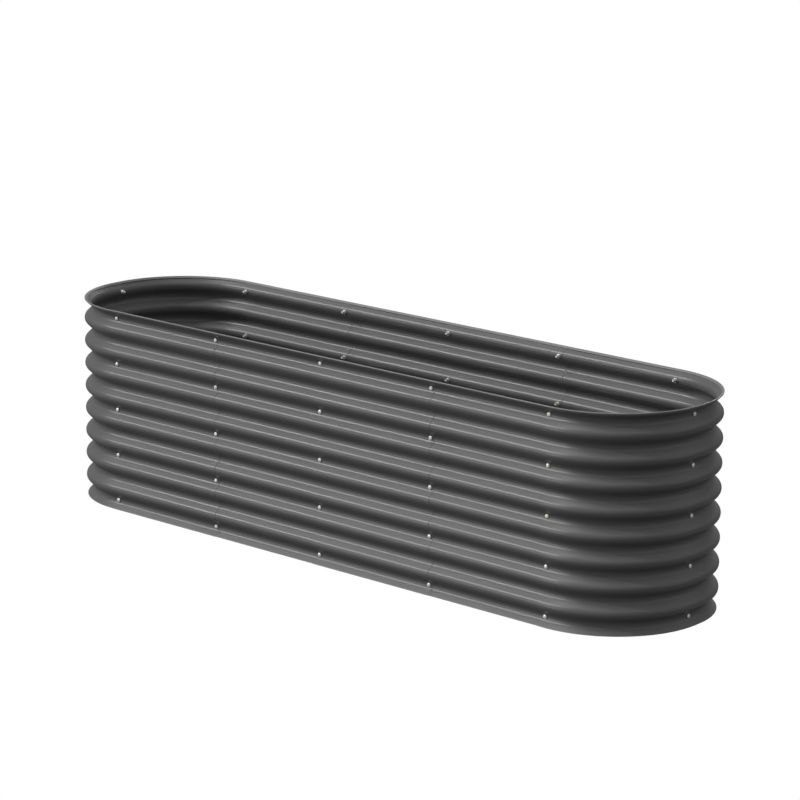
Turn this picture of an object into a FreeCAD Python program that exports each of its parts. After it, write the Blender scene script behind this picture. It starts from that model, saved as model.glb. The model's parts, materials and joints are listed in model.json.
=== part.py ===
import FreeCAD, Part
import math
import os

# Raised garden bed: an oval ring of corrugated steel panels, open at the top and at the bottom.
# Millimetres. +X runs along the bed, +Z is up, and the origin is on the ground under its centre.
# A panel is drawn in its own frame first: it faces -Y, and u is the distance outward from the
# plane that touches the outside of its ridges, so the metal itself lies at u below zero.

# The ring of panels
column_spacing = 419.0       # from one column of bolts to the next along a long side
panels_per_side = 4          # straight panels in each long side
corner_radius = 282.0        # of the round corners, over the ridges
lap = 24.0                   # width over which two neighbouring panels lie on each other

# The corrugated sheet
sheet = 0.8                  # thickness of the steel
pitch = 70.0                 # height of one ridge and one groove together
groove_count = 9             # grooves between the bottom edge and the top edge
wave_depth = 22.0            # from the top of a ridge to the bottom of a groove
bend_radius = 16.0           # of the ridges and grooves, in the middle of the sheet
edge_trim = 10.0             # the sheet is cut this far before the middle of the next ridge
layer_gap = 0.06             # left between the two sheets of a lap

# The fasteners of a lap
rows_skipped = 2             # a bolt in every second groove
bolt_size = 6.0              # diameter of the shank
hole_play = 1.0              # how much wider the holes in the sheets and tabs are
head_diameter = 12.0
head_height = 4.2
head_rim = 1.5               # height of the straight side of the head, below its dome
recess_length = 6.4          # of each arm pair of the cross recess
recess_width = 1.3
recess_depth = 2.0
thread_proud = 3.0           # the thread that shows past the nut where a brace is held
thread_chamfer = 0.8
washer_diameter = 14.0
washer_thickness = 1.4
washer_play = 0.4
nut_flats = 10.0
nut_height = 5.0
nut_play = 0.1
nut_chamfer_angle = 30.0
contact_gap = 0.05           # left between faces that press on each other
hair = 0.01                  # closer than this is taken as the same place

# The cross braces
brace_row = 2                # row of bolts that holds the braces, counted from the bottom one as 0
brace_width = 25.0
brace_thickness = 3.0
brace_bend = 5.0             # radius inside the bend between bar and tab
tab_below_bolt = 14.0        # the tab reaches this far under the middle of its bolt
tab_above_bolt = 16.0        # and the bar lies this far above it
tab_corner = 4.0

# The edging pushed over the cut top edges
edging_wall = 1.3
edging_leg = 6.5             # how far its two legs reach down over the sheet
edging_play = 0.12
edging_joint = 1.0           # gap where the two ends of the strip meet

# Worked out from the sizes above
half_pitch = pitch / 2
sheet_height = groove_count * pitch - 2 * edge_trim
half_width = corner_radius + lap / 2
column_reach = panels_per_side * column_spacing / 2
corner_x = column_reach + lap / 2
corner_y = lap / 2
half_length = corner_x + corner_radius

centre_step = 2 * bend_radius - wave_depth
centre_distance = math.hypot(half_pitch, centre_step)
flank_angle = math.asin(2 * bend_radius / centre_distance) - math.atan2(centre_step, half_pitch)
layer_step = (sheet + layer_gap) / math.cos(flank_angle)

groove_face = -wave_depth                               # u of the outside, at the bottom of a groove
back_face = -wave_depth - layer_step - sheet            # u of the inside of a lap, at the same place
groove_radius = bend_radius - sheet / 2
head_lift = groove_radius - math.sqrt(groove_radius ** 2 - (head_diameter / 2) ** 2)
head_seat = groove_face + head_lift + contact_gap
brace_stack = brace_thickness + contact_gap
clamp_stack = washer_thickness + nut_height + 2 * contact_gap
bolt_end = back_face - brace_stack - clamp_stack - thread_proud
hole_diameter = bolt_size + hole_play

bolt_heights = [
    (groove + 0.5) * pitch - edge_trim for groove in range(0, groove_count, rows_skipped)
]


def at(u, z):
    return FreeCAD.Vector(0, -u, z)


def turned(shape, angle, x=0.0, y=0.0, z=0.0):
    copy = shape.copy()
    copy.rotate(FreeCAD.Vector(0, 0, 0), FreeCAD.Vector(0, 0, 1), angle)
    copy.translate(FreeCAD.Vector(x, y, z))
    return copy


def arc(centre_u, centre_z, radius, start, middle, end):
    points = []
    for angle in (start, middle, end):
        points.append(at(centre_u + radius * math.cos(angle), centre_z + radius * math.sin(angle)))
    return Part.Arc(*points).toShape()


# One face of the wave, from the ridge under the sheet up to the ridge above it.
# offset is 0 in the middle of the sheet, positive on its outside.
def wave_edges(offset, shift):
    ridge_radius = bend_radius + offset
    hollow_radius = bend_radius - offset
    ridge_centre = shift - sheet / 2 - bend_radius
    hollow_centre = shift - sheet / 2 - wave_depth + bend_radius
    edges = []
    for groove in range(groove_count):
        low = groove * pitch - edge_trim
        middle = low + half_pitch
        high = low + pitch
        edges.append(arc(ridge_centre, low, ridge_radius, 0, flank_angle / 2, flank_angle))
        hollow = arc(
            hollow_centre, middle, hollow_radius,
            math.pi + flank_angle, math.pi, math.pi - flank_angle,
        )
        edges.append(Part.makeLine(edges[-1].Vertexes[-1].Point, hollow.Vertexes[0].Point))
        edges.append(hollow)
        crown = arc(ridge_centre, high, ridge_radius, -flank_angle, -flank_angle / 2, 0)
        edges.append(Part.makeLine(hollow.Vertexes[-1].Point, crown.Vertexes[0].Point))
        edges.append(crown)
    return edges


# Section of a panel, still whole ridges at both ends. The panels take turns around the ring:
# layer 0 lies outside, layer 1 lies inside its neighbours.
def wave_section(layer):
    shift = -layer * layer_step
    outside = wave_edges(sheet / 2, shift)
    inside = wave_edges(-sheet / 2, shift)
    closing = [
        Part.makeLine(outside[0].Vertexes[0].Point, inside[0].Vertexes[0].Point),
        Part.makeLine(outside[-1].Vertexes[-1].Point, inside[-1].Vertexes[-1].Point),
    ]
    loop = Part.Wire(Part.__sortEdges__(outside + inside + closing))
    return Part.Face(loop)


# Cuts the whole ridges off at the ground and at the top edge.
def trimmed(shape):
    room = 2 * (half_length + half_width)
    band = Part.makeBox(room, room, sheet_height, FreeCAD.Vector(-room / 2, -room / 2, 0))
    return shape.common(band)


# A rod along the line of a bolt, through both layers of a lap.
def bolt_line(diameter, first_u, last_u, z):
    return Part.makeCylinder(diameter / 2, first_u - last_u, at(first_u, z), FreeCAD.Vector(0, 1, 0))


def column_of_holes(x):
    holes = []
    for z in bolt_heights:
        hole = bolt_line(hole_diameter, 0, bolt_end, z)
        hole.translate(FreeCAD.Vector(x, 0, 0))
        holes.append(hole)
    return holes


def side_panel(layer):
    length = column_spacing + lap
    section = wave_section(layer)
    section.translate(FreeCAD.Vector(-length / 2, 0, 0))
    panel = trimmed(section.extrude(FreeCAD.Vector(length, 0, 0)))
    holes = column_of_holes(-column_spacing / 2) + column_of_holes(column_spacing / 2)
    return panel.cut(Part.makeCompound(holes)).Solids[0]


# A section carried round a quarter turn about the origin, with a straight leg at each end.
def quarter_turn(section, leg):
    start = section.copy()
    start.translate(FreeCAD.Vector(0, -corner_radius, 0))
    pieces = [
        start.extrude(FreeCAD.Vector(-leg, 0, 0)),
        start.revolve(FreeCAD.Vector(0, 0, 0), FreeCAD.Vector(0, 0, 1), 90),
        turned(start, 90).extrude(FreeCAD.Vector(0, leg, 0)),
    ]
    return pieces[0].fuse(pieces[1:]).removeSplitter()


def corner_panel(layer):
    panel = trimmed(quarter_turn(wave_section(layer), lap))
    holes = []
    for hole in column_of_holes(-lap / 2):
        hole.translate(FreeCAD.Vector(0, -corner_radius, 0))
        holes.append(hole)
    for hole in column_of_holes(lap / 2):
        hole.translate(FreeCAD.Vector(0, -corner_radius, 0))
        holes.append(turned(hole, 90))
    return panel.cut(Part.makeCompound(holes)).Solids[0]


def corner_places():
    return [
        ("front_right", corner_x, -corner_y, 0),
        ("back_right", corner_x, corner_y, 90),
        ("back_left", -corner_x, corner_y, 180),
        ("front_left", -corner_x, -corner_y, 270),
    ]


# The places where panels meet, as name, x, y and the angle that turns -Y outward there.
def lap_places():
    places = []
    for number in range(panels_per_side + 1):
        x = number * column_spacing - column_reach
        places.append(("front_%d" % (number + 1), x, -half_width, 0))
        places.append(("back_%d" % (number + 1), x, half_width, 180))
    places.append(("right_end", half_length, 0, 90))
    places.append(("left_end", -half_length, 0, 270))
    return places


# Pan head with a cross recess, plain shank and a chamfered tip. The bolt points into the bed.
def bolt():
    rim_u = head_seat + head_rim
    top_u = head_seat + head_height
    dome_height = head_height - head_rim
    half_head = head_diameter / 2
    dome_radius = (half_head ** 2 + dome_height ** 2) / (2 * dome_height)
    half_arc = math.asin(half_head / dome_radius) / 2
    middle = FreeCAD.Vector(
        dome_radius * math.sin(half_arc), -(top_u - dome_radius * (1 - math.cos(half_arc))), 0
    )
    top = FreeCAD.Vector(0, -top_u, 0)
    rim = FreeCAD.Vector(half_head, -rim_u, 0)
    seat = FreeCAD.Vector(half_head, -head_seat, 0)
    centre = FreeCAD.Vector(0, -head_seat, 0)
    outline = [
        Part.Arc(top, middle, rim).toShape(),
        Part.makeLine(rim, seat),
        Part.makeLine(seat, centre),
        Part.makeLine(centre, top),
    ]
    head = Part.Face(Part.Wire(outline)).revolve(
        FreeCAD.Vector(0, 0, 0), FreeCAD.Vector(0, 1, 0), 360
    )
    floor_y = -(top_u - recess_depth)
    for length, width in ((recess_length, recess_width), (recess_width, recess_length)):
        arm = Part.makeBox(
            length, head_height, width, FreeCAD.Vector(-length / 2, floor_y - head_height, -width / 2)
        )
        head = head.cut(arm)
    straight_end = bolt_end + thread_chamfer
    shank = bolt_line(bolt_size, head_seat, straight_end, 0)
    tip = Part.makeCone(
        bolt_size / 2, bolt_size / 2 - thread_chamfer, thread_chamfer,
        at(straight_end, 0), FreeCAD.Vector(0, 1, 0),
    )
    return head.fuse([shank, tip]).removeSplitter().Solids[0]


def washer(outer_u):
    inner_u = outer_u - washer_thickness
    disc = bolt_line(washer_diameter, outer_u, inner_u, 0)
    return disc.cut(bolt_line(bolt_size + washer_play, outer_u, inner_u, 0))


# Hexagon with its corners turned off on both faces.
def nut(outer_u):
    corner = nut_flats / 2 / math.cos(math.pi / 6)
    points = []
    for side in range(7):
        angle = side * math.pi / 3
        points.append(FreeCAD.Vector(corner * math.cos(angle), -outer_u, corner * math.sin(angle)))
    hexagon = Part.Face(Part.makePolygon(points)).extrude(FreeCAD.Vector(0, nut_height, 0))
    fall = (corner - nut_flats / 2) * math.tan(math.radians(nut_chamfer_angle))
    face = nut_flats / 2
    outline = [
        FreeCAD.Vector(0, -outer_u, 0),
        FreeCAD.Vector(face, -outer_u, 0),
        FreeCAD.Vector(corner, -outer_u + fall, 0),
        FreeCAD.Vector(corner, -outer_u + nut_height - fall, 0),
        FreeCAD.Vector(face, -outer_u + nut_height, 0),
        FreeCAD.Vector(0, -outer_u + nut_height, 0),
        FreeCAD.Vector(0, -outer_u, 0),
    ]
    turning = Part.Face(Part.makePolygon(outline)).revolve(
        FreeCAD.Vector(0, 0, 0), FreeCAD.Vector(0, 1, 0), 360
    )
    bore = bolt_line(bolt_size + nut_play, outer_u, outer_u - nut_height, 0)
    return hexagon.common(turning).cut(bore).Solids[0]


# One piece at every bolt height of a lap, as a group of separate solids.
def column(piece, raised, raised_row, x, y, angle):
    solids = []
    for row, z in enumerate(bolt_heights):
        source = raised if row == raised_row else piece
        solids.append(turned(source, angle, x, y, z))
    return Part.makeCompound(solids)


# A flat bar across the bed with a tab bent down at each end, bolted in with the lap.
def cross_brace():
    face = half_width + back_face - contact_gap
    low = bolt_heights[brace_row] - tab_below_bolt
    high = bolt_heights[brace_row] + tab_above_bolt
    outer_bend = brace_bend + brace_thickness
    slant = math.sqrt(0.5)

    def point(y, z):
        return FreeCAD.Vector(-brace_width / 2, y, z)

    def bend(side, radius):
        y = side * (face - outer_bend)
        z = high - outer_bend
        return Part.Arc(
            point(y + side * radius, z), point(y + side * radius * slant, z + radius * slant),
            point(y, z + radius),
        ).toShape()

    edges = []
    for side in (-1, 1):
        inner_face = side * (face - brace_thickness)
        edges.append(bend(side, outer_bend))
        edges.append(bend(side, brace_bend))
        edges.append(Part.makeLine(point(side * face, high - outer_bend), point(side * face, low)))
        edges.append(Part.makeLine(point(side * face, low), point(inner_face, low)))
        edges.append(Part.makeLine(point(inner_face, low), point(inner_face, high - outer_bend)))
    span = face - outer_bend
    edges.append(Part.makeLine(point(-span, high), point(span, high)))
    edges.append(Part.makeLine(point(-span, high - brace_thickness), point(span, high - brace_thickness)))
    section = Part.Face(Part.Wire(Part.__sortEdges__(edges)))
    bar = section.extrude(FreeCAD.Vector(brace_width, 0, 0))
    corners = []
    for edge in bar.Edges:
        extent = edge.BoundBox
        if extent.ZMax < low + hair and extent.XLength < hair:
            corners.append(edge)
    bar = bar.makeFillet(tab_corner, corners)
    hole = Part.makeCylinder(
        hole_diameter / 2, 2 * face, FreeCAD.Vector(0, -face, bolt_heights[brace_row]),
        FreeCAD.Vector(0, 1, 0),
    )
    return bar.cut(hole).Solids[0]


# Section of the edging: a U with a round back, lying along the flare of the top edge.
# Where the sheet is cut inside a bend, the slot is wider by what the bend turns away from it.
def edging_section():
    slope = flank_angle
    edge_angle = min(slope, math.asin(min(1.0, edge_trim / bend_radius)))
    rise = bend_radius * math.sin(edge_angle)
    inset = bend_radius * (1 - math.cos(edge_angle)) + (edge_trim - rise) * math.tan(edge_angle)
    edge_u = -sheet / 2 - inset
    bend_room = bend_radius * (1 - math.cos(slope - edge_angle))
    lower = -sheet / 2 - edging_play - bend_room
    upper = layer_step * math.cos(slope) + sheet / 2 + edging_play
    closed = sheet / 2 * math.tan(slope) + edging_play
    middle = (lower + upper) / 2
    half_thickness = (upper - lower) / 2 + edging_wall

    # along runs up the slope of the sheet, across runs through it towards the middle of the bed
    def place(along, across):
        u = edge_u + along * math.sin(slope) - across * math.cos(slope)
        z = sheet_height + along * math.cos(slope) + across * math.sin(slope)
        return at(u, z)

    back = Part.Arc(
        place(closed, middle - half_thickness), place(closed + half_thickness, middle),
        place(closed, middle + half_thickness),
    ).toShape()
    open_end = closed - edging_leg
    corners = [
        place(closed, middle + half_thickness),
        place(open_end, middle + half_thickness),
        place(open_end, upper),
        place(closed, upper),
        place(closed, lower),
        place(open_end, lower),
        place(open_end, middle - half_thickness),
        place(closed, middle - half_thickness),
    ]
    edges = [back]
    for first, second in zip(corners, corners[1:]):
        edges.append(Part.makeLine(first, second))
    return Part.Face(Part.Wire(edges))


# The strip is one length, carried round the whole rim, and its ends meet on a back panel.
def rim_edging():
    section = edging_section()
    pieces = []
    for name, x, y, angle in corner_places():
        pieces.append(turned(quarter_turn(section, corner_y), angle, x, y))
    for side, angle in ((-1, 0), (1, 180)):
        start = section.copy()
        start.translate(FreeCAD.Vector(-corner_x, -half_width, 0))
        pieces.append(turned(start.extrude(FreeCAD.Vector(2 * corner_x, 0, 0)), angle))
    strip = pieces[0].fuse(pieces[1:]).removeSplitter()
    joint = Part.makeBox(
        edging_joint, corner_radius, sheet_height,
        FreeCAD.Vector((column_spacing - edging_joint) / 2, half_width - corner_radius / 2,
                       sheet_height / 2),
    )
    return strip.cut(joint).Solids[0]


def build():
    nodes = {}
    sides = [side_panel(0), side_panel(1)]
    corners = [corner_panel(0), corner_panel(1)]
    spots = dict((name, (x, y, angle)) for name, x, y, angle in corner_places())

    # Once round the ring, starting at the left of the front.
    ring = []
    for number in range(panels_per_side):
        x = (number + 0.5) * column_spacing - column_reach
        ring.append(("front_panel_%d" % (number + 1), sides, (x, -half_width, 0)))
    ring.append(("corner_panel_front_right", corners, spots["front_right"]))
    ring.append(("corner_panel_back_right", corners, spots["back_right"]))
    for number in reversed(range(panels_per_side)):
        x = (number + 0.5) * column_spacing - column_reach
        ring.append(("back_panel_%d" % (number + 1), sides, (x, half_width, 180)))
    ring.append(("corner_panel_back_left", corners, spots["back_left"]))
    ring.append(("corner_panel_front_left", corners, spots["front_left"]))
    for index, (name, layers, spot) in enumerate(ring):
        x, y, angle = spot
        nodes[name] = turned(layers[index % 2], angle, x, y)

    one_bolt = bolt()
    plain_washer = washer(back_face - contact_gap)
    plain_nut = nut(back_face - washer_thickness - 2 * contact_gap)
    brace_washer = plain_washer.copy()
    brace_washer.translate(FreeCAD.Vector(0, brace_stack, 0))
    brace_nut = plain_nut.copy()
    brace_nut.translate(FreeCAD.Vector(0, brace_stack, 0))
    for name, x, y, angle in lap_places():
        braced = angle in (0, 180) and abs(x) < column_reach - column_spacing / 2
        raised_row = brace_row if braced else None
        nodes["bolts_" + name] = column(one_bolt, one_bolt, None, x, y, angle)
        nodes["washers_" + name] = column(plain_washer, brace_washer, raised_row, x, y, angle)
        nodes["nuts_" + name] = column(plain_nut, brace_nut, raised_row, x, y, angle)

    brace = cross_brace()
    for number in range(1, panels_per_side):
        x = number * column_spacing - column_reach
        nodes["cross_brace_%d" % number] = turned(brace, 0, x)

    nodes["rim_edging"] = rim_edging()
    return nodes


os.makedirs("parts", exist_ok=True)
for node, shape in build().items():
    shape.exportStep("parts/%s.step" % node)
    print(node, len(shape.Solids), "valid" if shape.isValid() else "NOT VALID", round(shape.Volume))
print("height of the sheets", round(sheet_height, 2), "flank", round(math.degrees(flank_angle), 2))
print("length", round(2 * half_length, 1), "width", round(2 * half_width, 1))
print("bolt under its head", round(head_seat - bolt_end, 2))
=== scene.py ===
import json
import math

import bpy
from mathutils import Matrix, Vector

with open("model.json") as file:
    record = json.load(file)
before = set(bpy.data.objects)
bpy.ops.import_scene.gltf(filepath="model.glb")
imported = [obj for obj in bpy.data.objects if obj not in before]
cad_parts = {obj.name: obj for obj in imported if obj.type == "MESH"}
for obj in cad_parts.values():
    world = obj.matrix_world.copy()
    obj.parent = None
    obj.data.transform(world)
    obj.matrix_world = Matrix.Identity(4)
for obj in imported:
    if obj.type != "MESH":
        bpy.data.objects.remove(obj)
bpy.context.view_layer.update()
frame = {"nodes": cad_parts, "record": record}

print("bed loaded,", len(frame["nodes"]), "parts")


# Short hands for shader nodes, used by every finish below.
def newMaterial(name):
    material = bpy.data.materials.new(name)
    material.use_nodes = True
    tree = material.node_tree
    return material, tree, tree.nodes["Principled BSDF"]


# A group takes numbers by name and gives one value that changes over the surface.
def newGroup(name, inputs, output):
    group = bpy.data.node_groups.new(name, "ShaderNodeTree")
    for label, value in inputs.items():
        socket = group.interface.new_socket(
            label, in_out="INPUT", socket_type="NodeSocketFloat"
        )
        socket.default_value = value
    group.interface.new_socket(output, in_out="OUTPUT", socket_type="NodeSocketFloat")
    return group, addNode(group, "NodeGroupInput"), addNode(group, "NodeGroupOutput")


def addNode(tree, kind, settings=None, **values):
    node = tree.nodes.new(kind if kind.startswith("Node") else "ShaderNode" + kind)
    for key, value in (settings or {}).items():
        setattr(node, key, value)
    for label, value in values.items():
        fill(tree, node.inputs[label.replace("_", " ")], value)
    return node


def fill(tree, socket, value):
    if isinstance(value, bpy.types.NodeSocket):
        tree.links.new(value, socket)
    else:
        socket.default_value = value


def useGroup(tree, group, values):
    return addNode(tree, "Group", {"node_tree": group}, **values)


def calculate(tree, operation, first, second=0.0, clamp=False):
    node = addNode(tree, "Math", {"operation": operation, "use_clamp": clamp})
    fill(tree, node.inputs[0], first)
    fill(tree, node.inputs[1], second)
    return node.outputs[0]


def multiply(tree, first, *others):
    product = first
    for other in others:
        product = calculate(tree, "MULTIPLY", product, other)
    return product


def remap(tree, value, fromLow, fromHigh, toLow=0.0, toHigh=1.0):
    node = addNode(tree, "MapRange", {"clamp": True})
    for index, part in enumerate((value, fromLow, fromHigh, toLow, toHigh)):
        fill(tree, node.inputs[index], part)
    return node.outputs["Result"]


def mix(tree, dataType, factor, first, second):
    node = addNode(tree, "Mix", {"data_type": dataType}, Factor=factor, A=first, B=second)
    return node.outputs["Result"]


def mixValue(tree, factor, first, second):
    return mix(tree, "FLOAT", factor, first, second)


def mixColour(tree, factor, first, second):
    return mix(tree, "RGBA", factor, first, second)


def noise(tree, position, scale, detail=2.0, roughness=0.5, stretch=(1.0, 1.0, 1.0)):
    mapping = addNode(tree, "Mapping", Vector=position, Scale=stretch)
    return addNode(
        tree, "TexNoise", Vector=mapping.outputs["Vector"], Scale=scale, Detail=detail,
        Roughness=roughness,
    ).outputs["Fac"]


# Where on the bed a point lies, and which way its surface faces.
def objectPosition(tree):
    return addNode(tree, "TexCoord").outputs["Object"]


def facingParts(tree):
    normal = addNode(tree, "NewGeometry").outputs["Normal"]
    return addNode(tree, "SeparateXYZ", Vector=normal).outputs


# Slow drift of tone over a coated or plated surface, 0.5 on average.
def makeToneDrift():
    group, given, result = newGroup(
        "toneDrift", {"Broad Scale": 3.0, "Fine Scale": 60.0, "Fine Share": 0.3}, "Tone"
    )
    position = objectPosition(group)
    broad = noise(group, position, given.outputs["Broad Scale"], detail=3.0)
    fine = noise(group, position, given.outputs["Fine Scale"], detail=4.0, roughness=0.6)
    tone = mixValue(group, given.outputs["Fine Share"], broad, fine)
    group.links.new(tone, result.inputs["Tone"])
    return group


# Dust that lies where the surface faces up, and dirt splashed up from the ground.
dirtPattern = {
    "patchScale": 14.0,         # patches per metre
    "patchRange": (0.35, 0.7),
    "speckScale": 420.0,        # specks per metre
    "speckRange": (0.5, 0.72),
    "betweenSpecks": 0.45,      # share of the splash that is left between the specks
    "fade": 1.6,                # how fast the splash thins out upwards
    "shelfRange": (0.3, 0.9),   # how far up a surface faces, from no dust to all of it
}


def makeDirt():
    look = dirtPattern
    group, given, result = newGroup(
        "dustAndSplash", {"Splash Height": 0.09, "Splash": 0.5, "Settled": 0.4}, "Mask"
    )
    position = objectPosition(group)
    patches = noise(group, position, look["patchScale"], detail=5.0, roughness=0.65)
    patches = remap(group, patches, *look["patchRange"])
    specks = noise(group, position, look["speckScale"], detail=3.0, roughness=0.7)
    specks = remap(group, specks, *look["speckRange"])
    specks = remap(group, specks, 0.0, 1.0, look["betweenSpecks"], 1.0)
    height = addNode(group, "SeparateXYZ", Vector=position).outputs["Z"]
    rise = calculate(group, "DIVIDE", height, given.outputs["Splash Height"])
    nearGround = calculate(group, "POWER", remap(group, rise, 1.0, 0.0), look["fade"])
    splash = multiply(group, nearGround, patches, specks, given.outputs["Splash"])
    shelf = remap(group, facingParts(group)["Z"], *look["shelfRange"])
    settled = multiply(group, shelf, patches, given.outputs["Settled"])
    total = calculate(group, "ADD", splash, settled, clamp=True)
    group.links.new(total, result.inputs["Mask"])
    return group


# The cut ends of the sheets, painted pale: partly the bare metal of a cut edge, partly painted
# light that offsets the shadow each lapped sheet casts on the next. They face along the bed in
# the straight sides, and across it in the middle of each round end.
cutEndFacing = 0.98             # least share of the normal that points that way


def makeCutEnds():
    group, given, result = newGroup(
        "cutEnds", {"Straight Reach": 0.9, "Middle Width": 0.03}, "Mask"
    )
    place = addNode(group, "SeparateXYZ", Vector=objectPosition(group)).outputs
    facing = facingParts(group)

    def endsFacing(axis, reach):
        turned = calculate(group, "ABSOLUTE", facing[axis])
        turned = calculate(group, "GREATER_THAN", turned, cutEndFacing)
        inside = calculate(group, "ABSOLUTE", place[axis])
        inside = calculate(group, "LESS_THAN", inside, given.outputs[reach])
        return multiply(group, turned, inside)

    alongBed = endsFacing("X", "Straight Reach")
    acrossBed = endsFacing("Y", "Middle Width")
    group.links.new(
        calculate(group, "MAXIMUM", alongBed, acrossBed), result.inputs["Mask"]
    )
    return group


toneDrift = makeToneDrift()
dirtMask = makeDirt()
cutEnds = makeCutEnds()
print("shared surface effects made")

# The noise keeps to the middle of its range, so a tone is spread from these limits.
shadeLimits = (0.35, 0.65)
roughLimits = (0.3, 0.7)


def fineGrain(tree, position, look):
    grain = noise(tree, position, look["grainScale"], detail=3.0)
    return addNode(tree, "Bump", Strength=0.3, Distance=look["grainDepth"], Height=grain)


def joinShader(tree, shader, colour, rough, bump):
    fill(tree, shader.inputs["Base Color"], colour)
    fill(tree, shader.inputs["Roughness"], rough)
    fill(tree, shader.inputs["Normal"], bump.outputs["Normal"])


# Where a finish has two roughness values, they are those of its darkest and lightest tone.
paintLook = {
    "colour": (0.085, 0.085, 0.085, 1.0),
    "lighter": (0.095, 0.095, 0.095, 1.0),
    "dust": (0.17, 0.165, 0.155, 1.0),
    # Cut-end colour: bare metal, made paler still as painted light that cancels the shadow of
    # the lapped step.
    "bareEdgeAndPaintedLight": (0.60, 0.60, 0.59, 1.0),
    "roughness": (0.29, 0.38),
    "dustRoughness": 0.4,       # added where dust lies
    "gloss": 0.28,
    "refraction": 1.5,
    "tone": {"Broad_Scale": 2.6, "Fine_Scale": 90.0, "Fine_Share": 0.25},
    "dirt": {"Splash_Height": 0.07, "Splash": 0.22, "Settled": 0.05},
    "cutEnds": {"Straight_Reach": 0.87, "Middle_Width": 0.03},
    "peelScale": 700.0,         # orange peel of the powder coat, bumps per metre
    "peelDepth": 0.00006,
    "peelStrength": 0.2,
    "rollScale": 260.0,         # faint lines left by the rollers, along the ridges
    "rollStretch": (0.012, 0.012, 1.0),
    "rollShare": 0.25,          # share of those lines in the tone
    "rollRelief": 0.4,          # height of those lines against the orange peel
}


def panelPaint():
    look = paintLook
    material, tree, shader = newMaterial("panelPaint")
    position = objectPosition(tree)
    lines = noise(tree, position, look["rollScale"], stretch=look["rollStretch"])
    tone = useGroup(tree, toneDrift, look["tone"]).outputs["Tone"]
    tone = calculate(tree, "ADD", multiply(tree, tone, 1.0 - look["rollShare"]),
                     multiply(tree, lines, look["rollShare"]))
    dirt = useGroup(tree, dirtMask, look["dirt"]).outputs["Mask"]
    bareAndPaintedLightEdge = useGroup(tree, cutEnds, look["cutEnds"]).outputs["Mask"]
    colour = mixColour(tree, remap(tree, tone, *shadeLimits), look["colour"], look["lighter"])
    colour = mixColour(tree, dirt, colour, look["dust"])
    # Painted light: the cut ends are lightened to offset the shadow cast by each lapped sheet's
    # edge.
    colour = mixColour(tree, bareAndPaintedLightEdge, colour, look["bareEdgeAndPaintedLight"])
    rough = remap(tree, tone, *roughLimits, *look["roughness"])
    dusty = multiply(tree, dirt, look["dustRoughness"])
    rough = calculate(tree, "ADD", rough, dusty, clamp=True)
    peel = noise(tree, position, look["peelScale"])
    relief = calculate(tree, "ADD", peel, multiply(tree, lines, look["rollRelief"]))
    bump = addNode(tree, "Bump", Strength=look["peelStrength"], Distance=look["peelDepth"],
                   Height=relief)
    joinShader(tree, shader, colour, rough, bump)
    shader.inputs["IOR"].default_value = look["refraction"]
    shader.inputs["Specular IOR Level"].default_value = look["gloss"]
    return material


# The washers have the finish of the nuts.
zincLook = {
    "bolt": {"bright": (0.93, 0.91, 0.87, 1.0), "dull": (0.80, 0.77, 0.72, 1.0),
             "roughness": (0.38, 0.23), "metal": 0.10, "threaded": True},
    "nut": {"bright": (0.74, 0.74, 0.72, 1.0), "dull": (0.52, 0.52, 0.50, 1.0),
            "roughness": (0.48, 0.33), "metal": 0.8, "threaded": False},
    "tone": {"Broad_Scale": 40.0, "Fine_Scale": 900.0, "Fine_Share": 0.5},
    "dirt": {"Splash_Height": 0.085, "Splash": 0.3, "Settled": 0.1},
    "grainScale": 2600.0,
    "grainDepth": 0.00004,
}
# The bolts of the long sides lie across the bed, and those of the round ends lie along it. Their
# thread starts behind the sheets.
threadLook = {
    "pitch": 0.001,
    "depth": 0.0006,
    "strength": 0.8,
    "sideStart": 0.2710,        # from the middle of the bed, as the next two
    "endStart": 1.1090,
    "endsBeyond": 1.0,          # a bolt past this belongs to a round end
    # Painted shade: the thread's valleys are coloured darker, as the shade that falls in them.
    "paintedValleyShade": (0.34, 0.33, 0.31, 1.0),
}


# How high a point of the thread is, from 0 in a valley to 1 on a crest, and where there is any.
def threadHeight(tree, position):
    look = threadLook
    place = addNode(tree, "SeparateXYZ", Vector=position)
    along = calculate(tree, "ABSOLUTE", place.outputs["X"])
    across = calculate(tree, "ABSOLUTE", place.outputs["Y"])
    atEnd = calculate(tree, "GREATER_THAN", along, look["endsBeyond"])
    sideThread = calculate(tree, "SUBTRACT", look["sideStart"], across)
    endThread = calculate(tree, "SUBTRACT", look["endStart"], along)
    reach = mixValue(tree, atEnd, sideThread, endThread)
    threaded = calculate(tree, "GREATER_THAN", reach, 0.0)
    halfPitch = look["pitch"] / 2
    crest = calculate(tree, "PINGPONG", reach, halfPitch)
    return calculate(tree, "DIVIDE", crest, halfPitch), threaded


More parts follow.
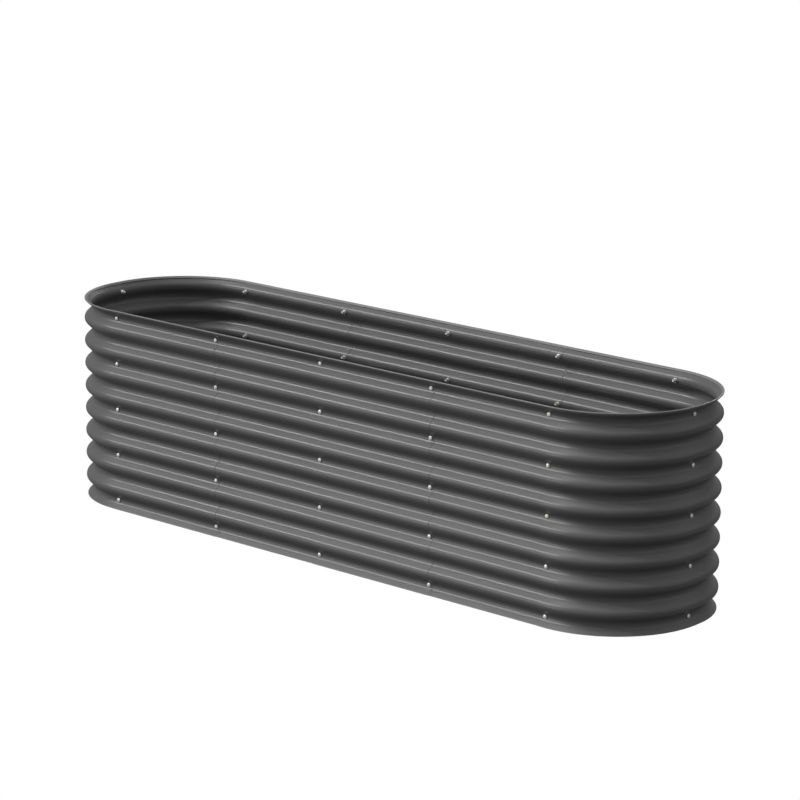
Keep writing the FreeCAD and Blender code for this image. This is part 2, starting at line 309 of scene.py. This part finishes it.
def zinc(name, kind):
    look = zincLook
    coat = look[kind]
    material, tree, shader = newMaterial(name)
    position = objectPosition(tree)
    tone = useGroup(tree, toneDrift, look["tone"]).outputs["Tone"]
    dirt = useGroup(tree, dirtMask, look["dirt"]).outputs["Mask"]
    colour = mixColour(tree, remap(tree, tone, *shadeLimits), coat["dull"], coat["bright"])
    colour = mixColour(tree, dirt, colour, paintLook["dust"])
    rough = remap(tree, tone, *roughLimits, *coat["roughness"])
    bump = fineGrain(tree, position, look)
    if coat["threaded"]:
        crest, threaded = threadHeight(tree, position)
        # Painted shade darkens the thread's valleys, from the crest down into each groove.
        paintedValleyShade = multiply(tree, calculate(tree, "SUBTRACT", 1.0, crest), threaded)
        colour = mixColour(tree, paintedValleyShade, colour, threadLook["paintedValleyShade"])
        bump = addNode(
            tree, "Bump", Strength=threadLook["strength"], Distance=threadLook["depth"],
            Height=multiply(tree, crest, threaded), Normal=bump.outputs["Normal"],
        )
    joinShader(tree, shader, colour, rough, bump)
    shader.inputs["Metallic"].default_value = coat["metal"]
    return material


galvanisedLook = {
    "dark": (0.36, 0.37, 0.38, 1.0),
    "light": (0.60, 0.61, 0.62, 1.0),
    "crystalScale": 130.0,      # spangle crystals per metre
    "crystalShare": 0.6,        # share of the crystals in the tone
    "driftShare": 0.4,
    "roughness": (0.52, 0.34),
    "tone": {"Broad_Scale": 9.0, "Fine_Scale": 300.0, "Fine_Share": 0.4},
    "grainScale": 900.0,
    "grainDepth": 0.00005,
}


def galvanised():
    look = galvanisedLook
    material, tree, shader = newMaterial("galvanisedBar")
    position = objectPosition(tree)
    crystals = addNode(tree, "TexVoronoi", Vector=position, Scale=look["crystalScale"])
    shine = addNode(tree, "SeparateColor", Color=crystals.outputs["Color"]).outputs["Red"]
    drift = useGroup(tree, toneDrift, look["tone"]).outputs["Tone"]
    tone = calculate(tree, "ADD", multiply(tree, shine, look["crystalShare"]),
                     multiply(tree, drift, look["driftShare"]))
    colour = mixColour(tree, tone, look["dark"], look["light"])
    rough = remap(tree, shine, 0.0, 1.0, *look["roughness"])
    joinShader(tree, shader, colour, rough, fineGrain(tree, position, look))
    shader.inputs["Metallic"].default_value = 1.0
    return material


rubberLook = {
    "colour": (0.11, 0.11, 0.111, 1.0),
    "lighter": (0.15, 0.15, 0.151, 1.0),
    "roughness": (0.44, 0.58),
    "tone": {"Broad_Scale": 5.0, "Fine_Scale": 260.0, "Fine_Share": 0.4},
    "dirt": {"Splash_Height": 0.05, "Splash": 0.0, "Settled": 0.2},
    "grainScale": 1800.0,
    "grainDepth": 0.00008,
}


def edgingRubber():
    look = rubberLook
    material, tree, shader = newMaterial("edgingRubber")
    position = objectPosition(tree)
    tone = useGroup(tree, toneDrift, look["tone"]).outputs["Tone"]
    dirt = useGroup(tree, dirtMask, look["dirt"]).outputs["Mask"]
    colour = mixColour(tree, remap(tree, tone, *shadeLimits), look["colour"], look["lighter"])
    colour = mixColour(tree, dirt, colour, paintLook["dust"])
    rough = remap(tree, tone, *roughLimits, *look["roughness"])
    joinShader(tree, shader, colour, rough, fineGrain(tree, position, look))
    return material


finishes = {
    "panel_paint": panelPaint(),
    "bolt_zinc": zinc("boltZinc", "bolt"),
    "nut_zinc": zinc("nutZinc", "nut"),
    "brace_galvanised": galvanised(),
    "edging_rubber": edgingRubber(),
}
slotOf = {part["node"]: part["material_slot"] for part in frame["record"]["subparts"]}
for name, node in frame["nodes"].items():
    node.data.materials.clear()
    node.data.materials.append(finishes[slotOf[name]])
print("finishes made,", len(finishes))


# A white room: floor and surround are white to the camera, and only softly bright to the bed.
# A lamp is (azimuth, elevation, strength, spread), the angles in degrees.
studio = {
    "floorSize": 60.0,
    "white": 1.0,
    "floorGlow": 0.18,
    "skyGlow": 0.25,
    "lamps": {
        "highKey": (215, 37, 1.0, 5),
        "sideKey": (235, 41, 1.0, 5),
        "leftTop": (225, 60, 0.65, 24),
        "rightTop": (315, 60, 0.44, 50),
        "frontFill": (240, 8, 0.79, 24),
        "rightFill": (30, 35, 0.54, 70),
        "backFill": (115, 32, 1.1, 24),
    },
}

cameraView = {
    "aim": (0.0568, -0.0015, 0.4416),
    "azimuth": -47.67,
    "elevation": 13.83,
    "roll": 0.50,
    "distance": 9.531,
    "lens": 149.6,
    "farthest": 100.0,          # how far the camera sees
}

plainBlack = (0.0, 0.0, 0.0, 1.0)
plainWhite = (1.0, 1.0, 1.0, 1.0)


# One strength for what the camera sees directly, and another for the light that reaches the bed.
def twoStrengths(tree, glow):
    seen = addNode(tree, "LightPath").outputs["Is Camera Ray"]
    return remap(tree, seen, 0.0, 1.0, glow, studio["white"])


# The floor glows and takes no light from the lamps, so no shadow falls on it.
def addFloor():
    bpy.ops.mesh.primitive_plane_add(size=studio["floorSize"])
    floor = bpy.context.object
    floor.name = "studioFloor"
    material, tree, shader = newMaterial("paleFloor")
    shader.inputs["Base Color"].default_value = plainBlack
    shader.inputs["Specular IOR Level"].default_value = 0.0
    shader.inputs["Emission Color"].default_value = plainWhite
    fill(tree, shader.inputs["Emission Strength"], twoStrengths(tree, studio["floorGlow"]))
    floor.data.materials.append(material)


def addSurround():
    world = bpy.data.worlds.new("whiteSurround")
    world.use_nodes = True
    surround = world.node_tree.nodes["Background"]
    surround.inputs["Color"].default_value = plainWhite
    strength = twoStrengths(world.node_tree, studio["skyGlow"])
    fill(world.node_tree, surround.inputs["Strength"], strength)
    bpy.context.scene.world = world


# The direction from the bed towards a lamp or the camera: azimuth is counted from +X to +Y.
def directionTo(azimuth, elevation):
    turn, rise = math.radians(azimuth), math.radians(elevation)
    return Vector((
        math.cos(turn) * math.cos(rise),
        math.sin(turn) * math.cos(rise),
        math.sin(rise),
    ))


def addToStudio(name, data, turn):
    holder = bpy.data.objects.new(name, data)
    holder.rotation_mode = "QUATERNION"
    holder.rotation_quaternion = turn
    bpy.context.scene.collection.objects.link(holder)
    return holder


def addLamp(name, azimuth, elevation, strength, spread):
    lamp = bpy.data.lights.new(name, "SUN")
    lamp.energy = strength
    lamp.angle = math.radians(spread)
    addToStudio(name, lamp, directionTo(azimuth, elevation).to_track_quat("Z", "Y"))


def addCamera():
    look = cameraView
    camera = bpy.data.cameras.new("photoCamera")
    camera.lens = look["lens"]
    camera.clip_end = look["farthest"]
    back = directionTo(look["azimuth"], look["elevation"])
    roll = Matrix.Rotation(math.radians(look["roll"]), 3, "Z")
    turn = back.to_track_quat("Z", "Y").to_matrix() @ roll
    holder = addToStudio("photoCamera", camera, turn.to_quaternion())
    holder.location = Vector(look["aim"]) + back * look["distance"]
    bpy.context.scene.camera = holder


addFloor()
for name, lampValues in studio["lamps"].items():
    addLamp(name, *lampValues)
addSurround()
addCamera()
bpy.context.scene.view_settings.view_transform = "Standard"
print("studio ready")
